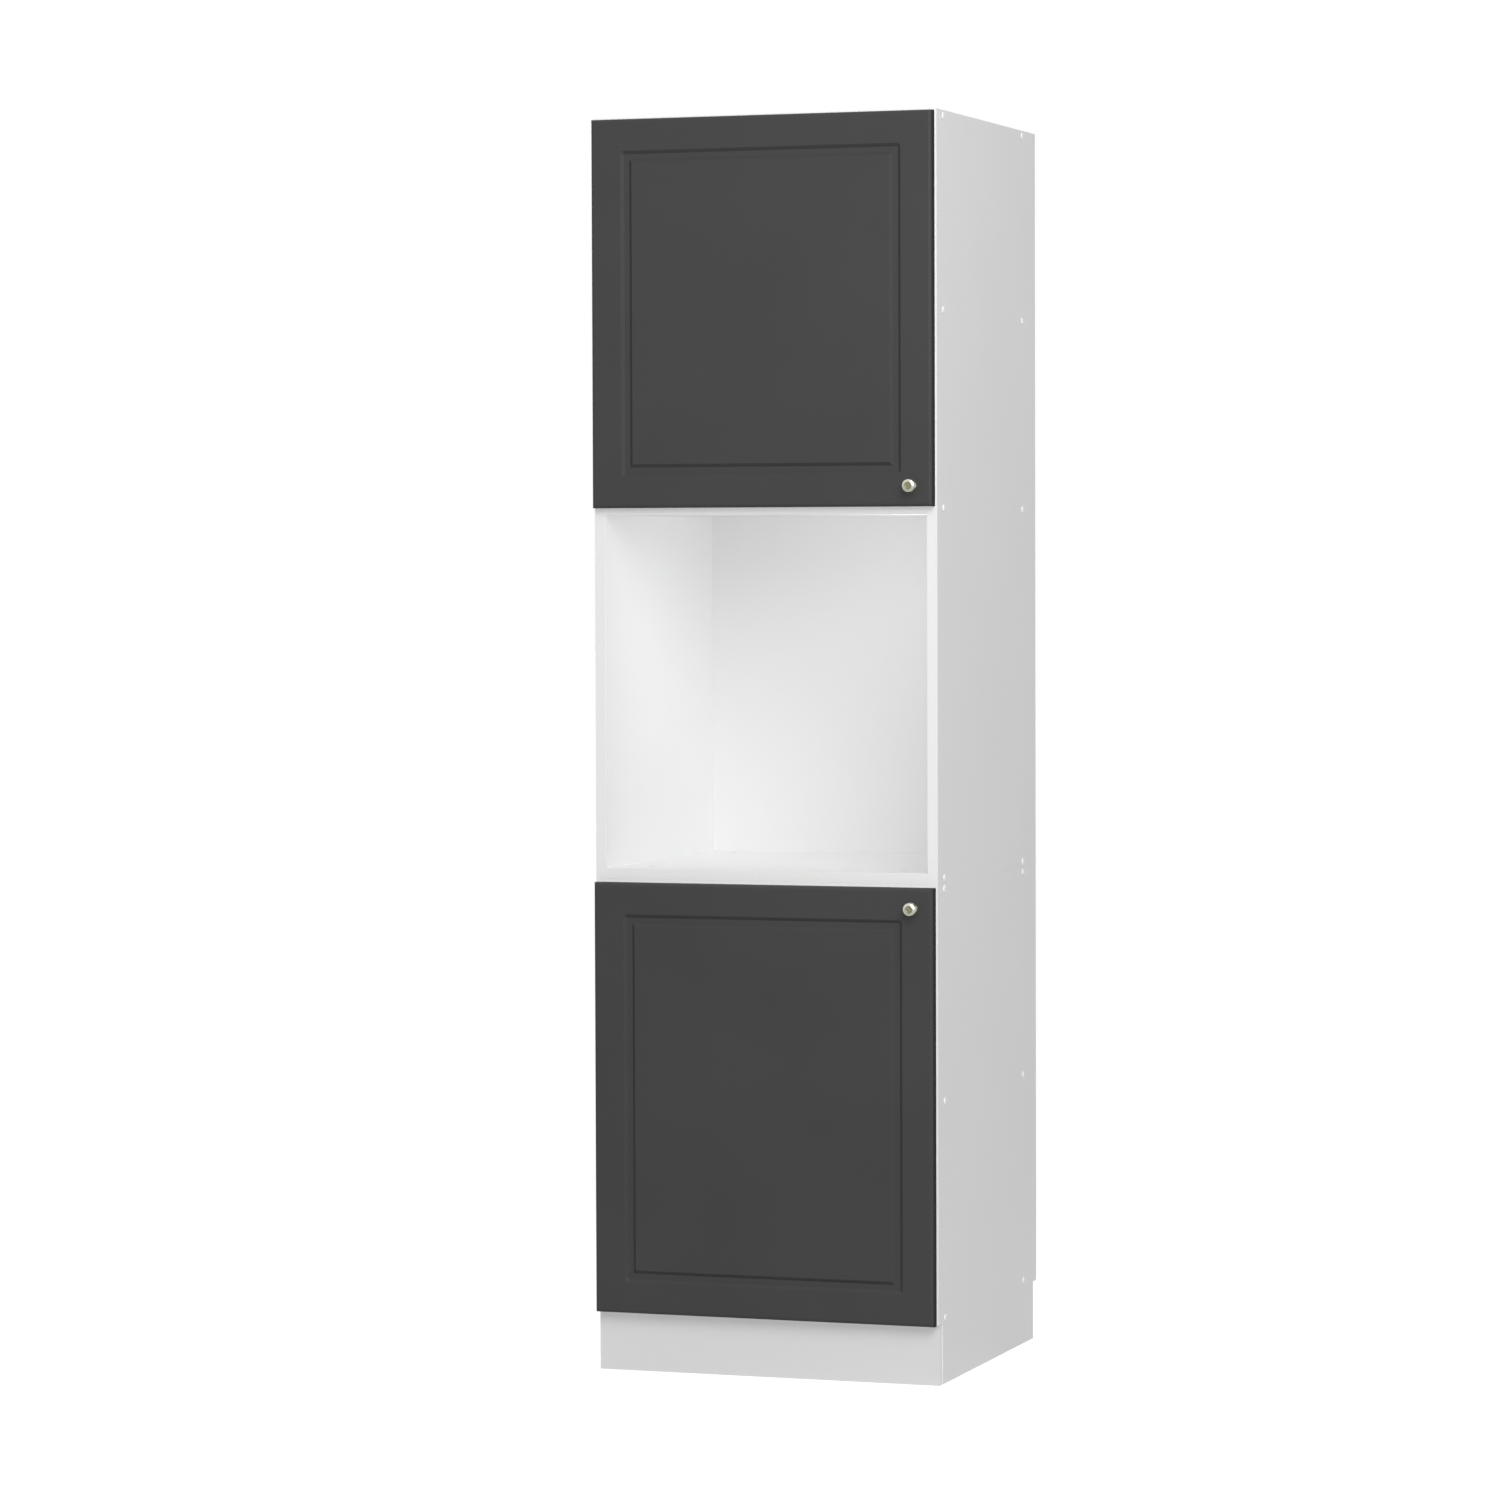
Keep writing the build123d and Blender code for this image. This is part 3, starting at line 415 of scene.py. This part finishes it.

# %% [markdown]
# ## Back panels
#
# The thin back panels are wood fibre board, lacquered white on the side that faces the
# cupboard and left brown behind. The lacquer is a greyer white than the coating, partly its own
# tone and partly painted shade for the back of the niche. The same trick works here: the front
# face looks towards -Y.

# %% Back panels
def fibre_board():
    """White lacquer in front, brown pressed fibres behind and on the edges."""
    # The lacquer white is greyer than the coating: partly its own tone, partly painted shade for
    # the back of the niche.
    dark_brown, pale_brown, white = (0.165, 0.095, 0.05), (0.33, 0.21, 0.12), (0.70, 0.70, 0.70)
    material, tree, shader, where = start("fibre_board", (0.8, 0.8, 0.8), 0.5)
    lacquered = facing(tree, where, "-Y")
    fibres = vary(tree, noise(tree, where["Object"], 0.0016, detail=6.0), 0.0, 1.0)
    brown = mix_colour(tree, fibres, dark_brown, pale_brown)
    colour = mix_colour(tree, lacquered, brown, white)
    rough = remap(tree, lacquered, 0.0, 1.0, 0.8, 0.5)
    feed(tree, shader, {"Base Color": colour, "Roughness": rough})
    fibres_left = calculate(tree, "MULTIPLY_ADD", lacquered, -0.9, 1.0)
    bump(tree, shader, calculate(tree, "MULTIPLY", fibres, fibres_left), 0.00012)
    return material


dress(["base_back_panel", "tower_back_panel"], fibre_board())

# %% [markdown]
# ## Doors
#
# Each door is milled from fibre board and wrapped in a dark grey foil, which runs over the
# front, down the milled line and round the edges. The foil is half matt with a very fine grain.
# On the upright edges it is stretched and quite dull, and its colour there is painted darker, as
# shade on the edges that look sideways. The back has the white coating of the carcass. The
# finish could be split at the edges with more materials, but again the way a face looks is
# enough: only the back looks towards +Y, and only the upright edges look along X.

# %% Doors
def door_foil():
    """Dark foil on the front and the edges, white coating on the back."""
    cool_grey, warm_grey = (0.0515, 0.0515, 0.0520), (0.0550, 0.0548, 0.0545)
    painted_edge_shade_grey, back_white = (0.026, 0.026, 0.026), (0.79, 0.79, 0.785)
    material, tree, shader, where = start("door_foil", (0.05, 0.05, 0.05), 0.5)
    place = where["Object"]
    tone = vary(tree, noise(tree, place, 0.25), 0.0, 1.0, spread=0.15)
    foil = mix_colour(tree, tone, cool_grey, warm_grey)
    sideways = add(tree, "SeparateXYZ", {0: where["Normal"]}).outputs["X"]
    dull_and_shaded_edges = remap(tree, calculate(tree, "ABSOLUTE", sideways), 0.75, 0.98, 0.0, 1.0)
    # Painted shade: the foil's colour is darker on the upright edges; the same mask also makes them
    # duller.
    foil = mix_colour(tree, dull_and_shaded_edges, foil, painted_edge_shade_grey)
    colour = mix_colour(tree, facing(tree, where, "+Y"), foil, back_white)
    matt = vary(tree, noise(tree, place, 0.003), 0.46, 0.56)
    dull = remap(tree, dull_and_shaded_edges, 0.0, 1.0, 0.4, 0.95)
    rough = calculate(tree, "MAXIMUM", matt, dull)
    feed(tree, shader, {"Base Color": colour, "Roughness": rough, "Specular IOR Level": 0.14})
    bump(tree, shader, noise(tree, place, 0.0008), 0.00002)
    return material


dress(["lower_door", "upper_door"], door_foil())

# %% [markdown]
# ## Knobs
#
# The knobs are turned from brass and plated in a warm nickel. The shoulder round the dish
# is painted brighter as a highlight, most of all above and at the sides, and less below, as
# light from above would fall on it. The dish keeps a darker olive tone. Two materials could be
# given to two sets of faces, but the painted highlight has no sharp edge, so the distance from
# the knob's axis blends the two tones, and so does the height.
#
# Turning leaves fine rings round the axis, and these spread each reflection into a soft bow.
# The rings could be cut into the mesh, but they are finer than its faces, so the bump makes
# them: it rises and falls with the same distance from the axis.

# %% Knobs
def turned_nickel(knob):
    """Warm plated metal, turned about the axis of one knob: a darker dish, and a painted highlight
    on the shoulder, strongest on top.
    """
    olive, painted_highlight_nickel = (0.25, 0.245, 0.16), (0.66, 0.65, 0.57)
    dish_radius, shoulder_radius, ring_pitch = 0.0055, 0.0075, 0.00035
    low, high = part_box(knob)
    middle = (low + high) / 2
    material, tree, shader, where = start(knob + "_nickel", (0.3, 0.3, 0.2), 0.25, metallic=1.0)
    place = where["Object"]
    centred = add(tree, "VectorMath", {0: place, 1: middle}, operation="SUBTRACT").outputs[0]
    across = {0: centred, 1: (1.0, 0.0, 1.0)}
    flat = add(tree, "VectorMath", across, operation="MULTIPLY").outputs[0]
    radius = add(tree, "VectorMath", {0: flat}, operation="LENGTH").outputs["Value"]
    beyond_dish = remap(tree, radius, dish_radius, shoulder_radius, 0.0, 1.0)
    height = add(tree, "SeparateXYZ", {0: centred}).outputs["Z"]
    # Painted highlight: the shoulder is lighter than the dish, and lighter still towards the top.
    painted_highlight_by_height = remap(tree, height, -0.011, 0.005, 0.3, 1.0)
    painted_highlight_share = calculate(tree, "MULTIPLY", beyond_dish, painted_highlight_by_height)
    colour = mix_colour(tree, painted_highlight_share, olive, painted_highlight_nickel)
    haze = vary(tree, noise(tree, place, 0.003), 0.20, 0.30)
    feed(tree, shader, {"Base Color": colour, "Roughness": haze})
    turns = calculate(tree, "MULTIPLY", radius, 2 * math.pi / ring_pitch)
    bump(tree, shader, calculate(tree, "SINE", turns), 0.000004)
    return material


for knob in ("lower_door_knob", "upper_door_knob"):
    dress([knob], turned_nickel(knob))

# %% [markdown]
# ## Small plastic parts
#
# Each carcass screw is hidden under a low rounded cap, moulded in a whiter and glossier plastic
# than the coating, so it shows as a small light spot. The pads on the back of the doors are
# clear soft plastic. Real clear plastic would need many light paths through it, but a pad is
# only a few millimetres wide, so half of it is a milky body and the rest lets light through.

# %% Caps and pads
def cap_plastic():
    """Glossy white moulded plastic."""
    material, tree, shader, where = start("cap_plastic", (0.88, 0.88, 0.87), 0.22)
    gloss = vary(tree, noise(tree, where["Object"], 0.002), 0.18, 0.28)
    feed(tree, shader, {"Roughness": gloss})
    return material


def pad_plastic():
    """Clear soft plastic with a milky body."""
    material, tree, shader, where = start("pad_plastic", (0.86, 0.87, 0.86), 0.25)
    gloss = vary(tree, noise(tree, where["Object"], 0.0015), 0.2, 0.35)
    feed(tree, shader, {"Roughness": gloss, "Transmission Weight": 0.45, "IOR": 1.46})
    return material


dress(["screw_caps"], cap_plastic())
dress(["lower_door_bumpers", "upper_door_bumpers"], pad_plastic())

# %% [markdown]
# ## Hinges, screws and brackets
#
# The hinges are pressed from steel sheet and nickel plated: bright, with faint lines along the
# way the sheet was drawn. The screws are zinc plated, cooler and duller. One recipe makes both
# platings, with another colour, gloss and stretch of its streaks. The wall brackets are cut from
# galvanised sheet, which shows as a patchwork of dull and bright crystals, so they have a
# pattern of cells instead.

# %% Metals
def plated(name, colour, roughness, grain, stretch):
    """A plated metal whose gloss changes in fine streaks."""
    material, tree, shader, where = start(name, colour, roughness, metallic=1.0)
    drawn = add(tree, "Mapping", {"Vector": where["Object"], "Scale": stretch}).outputs[0]
    streaks = noise(tree, drawn, grain, detail=4.0)
    feed(tree, shader, {"Roughness": vary(tree, streaks, roughness - 0.05, roughness + 0.05)})
    bump(tree, shader, streaks, 0.000002)
    return material


def galvanised():
    """Zinc dipped sheet: crystals a few millimetres wide, each a little brighter or duller."""
    dull_zinc, pale_zinc, crystals_per_metre = (0.46, 0.47, 0.49), (0.64, 0.65, 0.66), 160.0
    material, tree, shader, where = start("galvanised", (0.55, 0.56, 0.57), 0.4, metallic=1.0)
    pattern = {"Vector": where["Object"], "Scale": crystals_per_metre}
    crystals = add(tree, "TexVoronoi", pattern)
    pick = add(tree, "SeparateColor", {0: crystals.outputs["Color"]}).outputs[0]
    colour = mix_colour(tree, pick, dull_zinc, pale_zinc)
    feed(tree, shader, {"Base Color": colour, "Roughness": remap(tree, pick, 0.0, 1.0, 0.5, 0.32)})
    return material


hinge_nickel = plated("hinge_nickel", (0.66, 0.64, 0.60), 0.26, 0.0008, (1.0, 0.15, 1.0))
bright_zinc = plated("bright_zinc", (0.58, 0.60, 0.62), 0.36, 0.0005, (1.0, 1.0, 1.0))
dress(sorted(name for name in nodes if "_hinge_" in name), hinge_nickel)
dress(["hinge_arm_screws", "hinge_plate_screws", "lower_door_cup_screws", "upper_door_cup_screws"],
      hinge_nickel)
dress(["panel_screws", "plinth_screws", "wall_bracket_screws", "back_panel_nails",
       "connector_bolts", "connector_sleeves", "lower_door_knob_screw", "upper_door_knob_screw"],
      bright_zinc)
dress(["wall_bracket_left", "wall_bracket_right"], galvanised())

# %% [markdown]
# ## Softwood blocks
#
# Two blocks of sawn softwood stand upright behind the plinth. Their year rings run up the
# block, so a ring pattern about an axis well outside the block gives gently bent lines.

# %% Softwood blocks
def softwood():
    """Sawn pale wood with upright year rings."""
    early_wood, late_wood = (0.66, 0.47, 0.26), (0.40, 0.22, 0.09)
    off_the_tree_axis = (0.11, 0.32, 0.0)
    material, tree, shader, where = start("softwood", (0.6, 0.4, 0.2), 0.7)
    place = where["Object"]
    moved = add(tree, "Mapping", {"Vector": place, "Location": off_the_tree_axis}).outputs[0]
    settings = {"Vector": moved, "Scale": 110.0, "Distortion": 2.5, "Detail": 2.0}
    wave = add(tree, "TexWave", settings, wave_type="RINGS", rings_direction="Z")
    rings = wave.outputs["Fac"]
    sway = vary(tree, noise(tree, place, 0.06), 0.6, 1.0)
    late = calculate(tree, "MULTIPLY", rings, sway)
    feed(tree, shader, {"Base Color": mix_colour(tree, late, early_wood, late_wood)})
    bump(tree, shader, rings, 0.00008)
    return material


dress(["plinth_block_left", "plinth_block_right"], softwood())

# %% Last step
bpy.context.view_layer.update()
